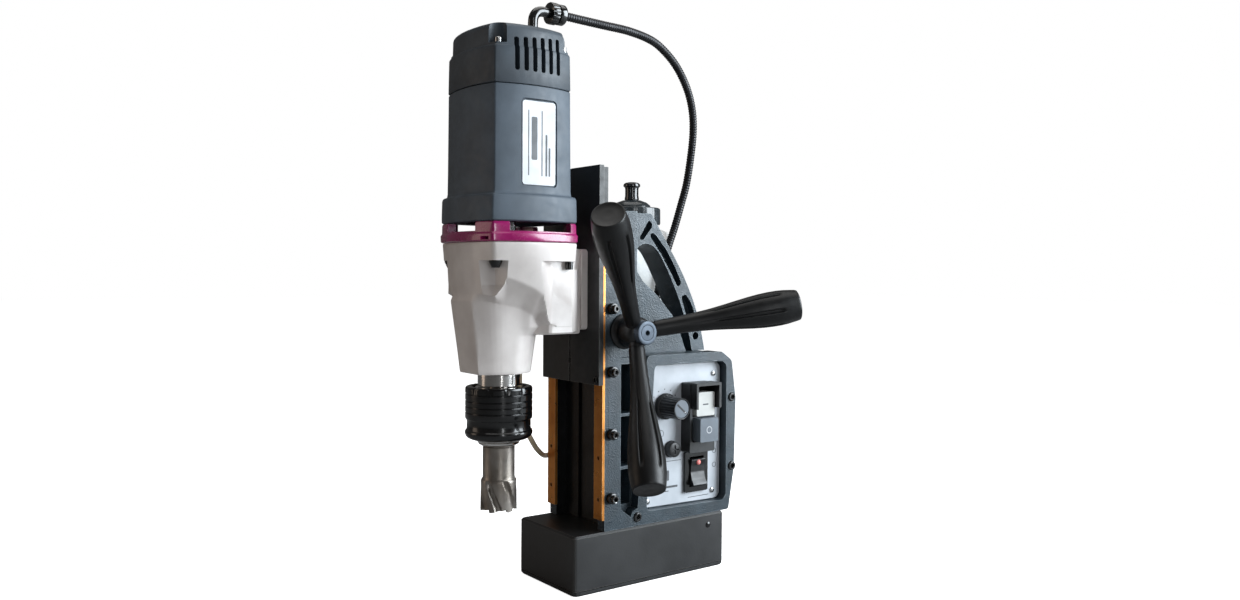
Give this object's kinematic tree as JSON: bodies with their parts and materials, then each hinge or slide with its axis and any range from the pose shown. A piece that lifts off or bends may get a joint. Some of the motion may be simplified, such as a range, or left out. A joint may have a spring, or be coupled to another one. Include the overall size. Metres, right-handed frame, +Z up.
{
  "type": "magnetic drill press",
  "caption": "Portable drill press on a magnet base: motor head on a vertical slide, annular cutter in a quick chuck, feed handle with arms, control box, coolant tank and carrying handle.",
  "frame": {"origin": "centre of the magnet's holding face, the plane that sits on the work", "axes": "+Z up along the head's travel, -Y from the column towards the drill, +X towards the control panel and the feed handle"},
  "size_m": [0.2125, 0.2567, 0.4822],
  "materials": {
    "base_black": "matt black",
    "base_paint": "semi-matt black",
    "copper_winding": "lacquered winding",
    "casting_paint": "hammered blue-grey paint",
    "bright_steel": "ground",
    "gib_brass": "machined",
    "black_plastic": "fine grained",
    "grey_plastic": "satin",
    "white_plastic": "satin",
    "panel_metal": "white printed sheet",
    "board_green": "lacquered",
    "cast_aluminium": "turned",
    "gearbox_paint": "cream enamel",
    "vent_plastic": "gloss magenta",
    "motor_plastic": "fine grained dark grey",
    "commutator_copper": "turned",
    "chuck_black": "gloss black",
    "cutter_steel": "ground",
    "tank_clear": "translucent",
    "hose_beige": "smooth"
  },
  "bodies": {
    "stand": {"pole_plate": "base_black", "magnet_base": "base_paint", "magnet_coil": "copper_winding", "column_casting": "casting_paint", "gib_screw_1": "bright_steel", "gib_screw_2": "bright_steel", "gib_screw_3": "bright_steel", "gib_screw_4": "bright_steel", "brass_gib_left": "gib_brass", "brass_gib_right": "gib_brass", "carry_handle": "casting_paint", "control_housing": "casting_paint", "cover_screw_1": "black_plastic", "cover_screw_2": "black_plastic", "cover_screw_3": "black_plastic", "control_panel": "panel_metal", "circuit_board": "board_green", "switch_base": "black_plastic", "rocker_frame": "black_plastic", "fuse_cap": "grey_plastic", "coolant_tank": "tank_clear", "tank_cap": "chuck_black", "outlet_tap": "gib_brass"},
    "head": {"slide_block": "base_paint", "feed_rack": "bright_steel", "gearbox_housing": "gearbox_paint", "gear_plate": "cast_aluminium", "spindle_bearing": "bright_steel", "vent_ring": "vent_plastic", "motor_housing": "motor_plastic", "motor_cap": "motor_plastic", "stator": "copper_winding", "brush_left": "gib_brass", "brush_right": "gib_brass", "conduit_elbow": "black_plastic", "motor_conduit": "black_plastic", "coolant_hose": "hose_beige"},
    "armature": {"armature_shaft": "bright_steel", "armature_core": "bright_steel", "commutator": "commutator_copper", "cooling_fan": "black_plastic"},
    "lay": {"lay_shaft": "bright_steel", "lay_wheel": "bright_steel"},
    "spindle": {"spindle": "bright_steel", "spindle_gear": "bright_steel", "arbor": "bright_steel", "annular_cutter": "cutter_steel"},
    "sleeve": {"chuck_sleeve": "chuck_black"},
    "pin": {"ejector_pin": "bright_steel"},
    "feed": {"feed_pinion_shaft": "bright_steel", "feed_hub": "black_plastic", "hub_end_disc": "cast_aluminium", "feed_grip_1": "black_plastic", "feed_grip_2": "black_plastic", "feed_grip_3": "black_plastic"},
    "knob": {"speed_knob": "black_plastic"},
    "start": {"start_button": "white_plastic"},
    "stop": {"stop_button": "grey_plastic"},
    "rocker": {"magnet_rocker": "black_plastic"},
    "plunger": {"cap_plunger": "chuck_black"}
  },
  "joints": [
    {"name": "slide_feed", "type": "slide", "parent": "stand", "child": "head", "axis": [0, 0, 1], "range_m": [-0.116, 0.032], "deforming": ["motor_conduit", "coolant_hose"]},
    {"name": "feed_turn", "type": "hinge", "parent": "stand", "child": "feed", "pos_m": [0, -0.0308, 0.2117], "axis": [1, 0, 0], "range_deg": [-180, 640]},
    {"name": "spindle_spin", "type": "hinge", "parent": "head", "child": "spindle", "pos_m": [0, -0.1255, 0.2], "axis": [0, 0, 1], "continuous": true},
    {"name": "lay_spin", "type": "hinge", "parent": "head", "child": "lay", "pos_m": [0.01585, -0.10003, 0.24], "axis": [0, 0, 1], "continuous": true},
    {"name": "armature_spin", "type": "hinge", "parent": "head", "child": "armature", "pos_m": [0, -0.116, 0.35], "axis": [0, 0, 1], "continuous": true},
    {"name": "sleeve_lift", "type": "slide", "parent": "spindle", "child": "sleeve", "axis": [0, 0, 1], "range_m": [0, 0.006], "stiffness_N_per_m": 2500, "springref_m": -0.004},
    {"name": "pin_push", "type": "slide", "parent": "spindle", "child": "pin", "axis": [0, 0, 1], "range_m": [0, 0.015], "stiffness_N_per_m": 300, "springref_m": -0.005},
    {"name": "speed_turn", "type": "hinge", "parent": "stand", "child": "knob", "pos_m": [0.0333, 0.0189, 0.1451], "axis": [1, 0, 0], "range_deg": [-135, 135]},
    {"name": "start_press", "type": "slide", "parent": "stand", "child": "start", "axis": [-1, 0, 0], "range_m": [0, 0.003], "stiffness_N_per_m": 800, "springref_m": -0.002},
    {"name": "stop_press", "type": "slide", "parent": "stand", "child": "stop", "axis": [-1, 0, 0], "range_m": [0, 0.003], "stiffness_N_per_m": 800, "springref_m": -0.002},
    {"name": "rocker_tilt", "type": "hinge", "parent": "stand", "child": "rocker", "pos_m": [0.0305, 0.0535, 0.0853], "axis": [0, 1, 0], "range_deg": [0, 12]},
    {"name": "plunger_pull", "type": "slide", "parent": "stand", "child": "plunger", "axis": [0, 0, 1], "range_m": [0, 0.005]}
  ],
  "couplings": [
    {"joint": "feed_turn", "follows": "slide_feed", "rad_per_m": -95.238},
    {"joint": "lay_spin", "follows": "spindle_spin", "ratio": -4},
    {"joint": "armature_spin", "follows": "spindle_spin", "ratio": 16}
  ]
}
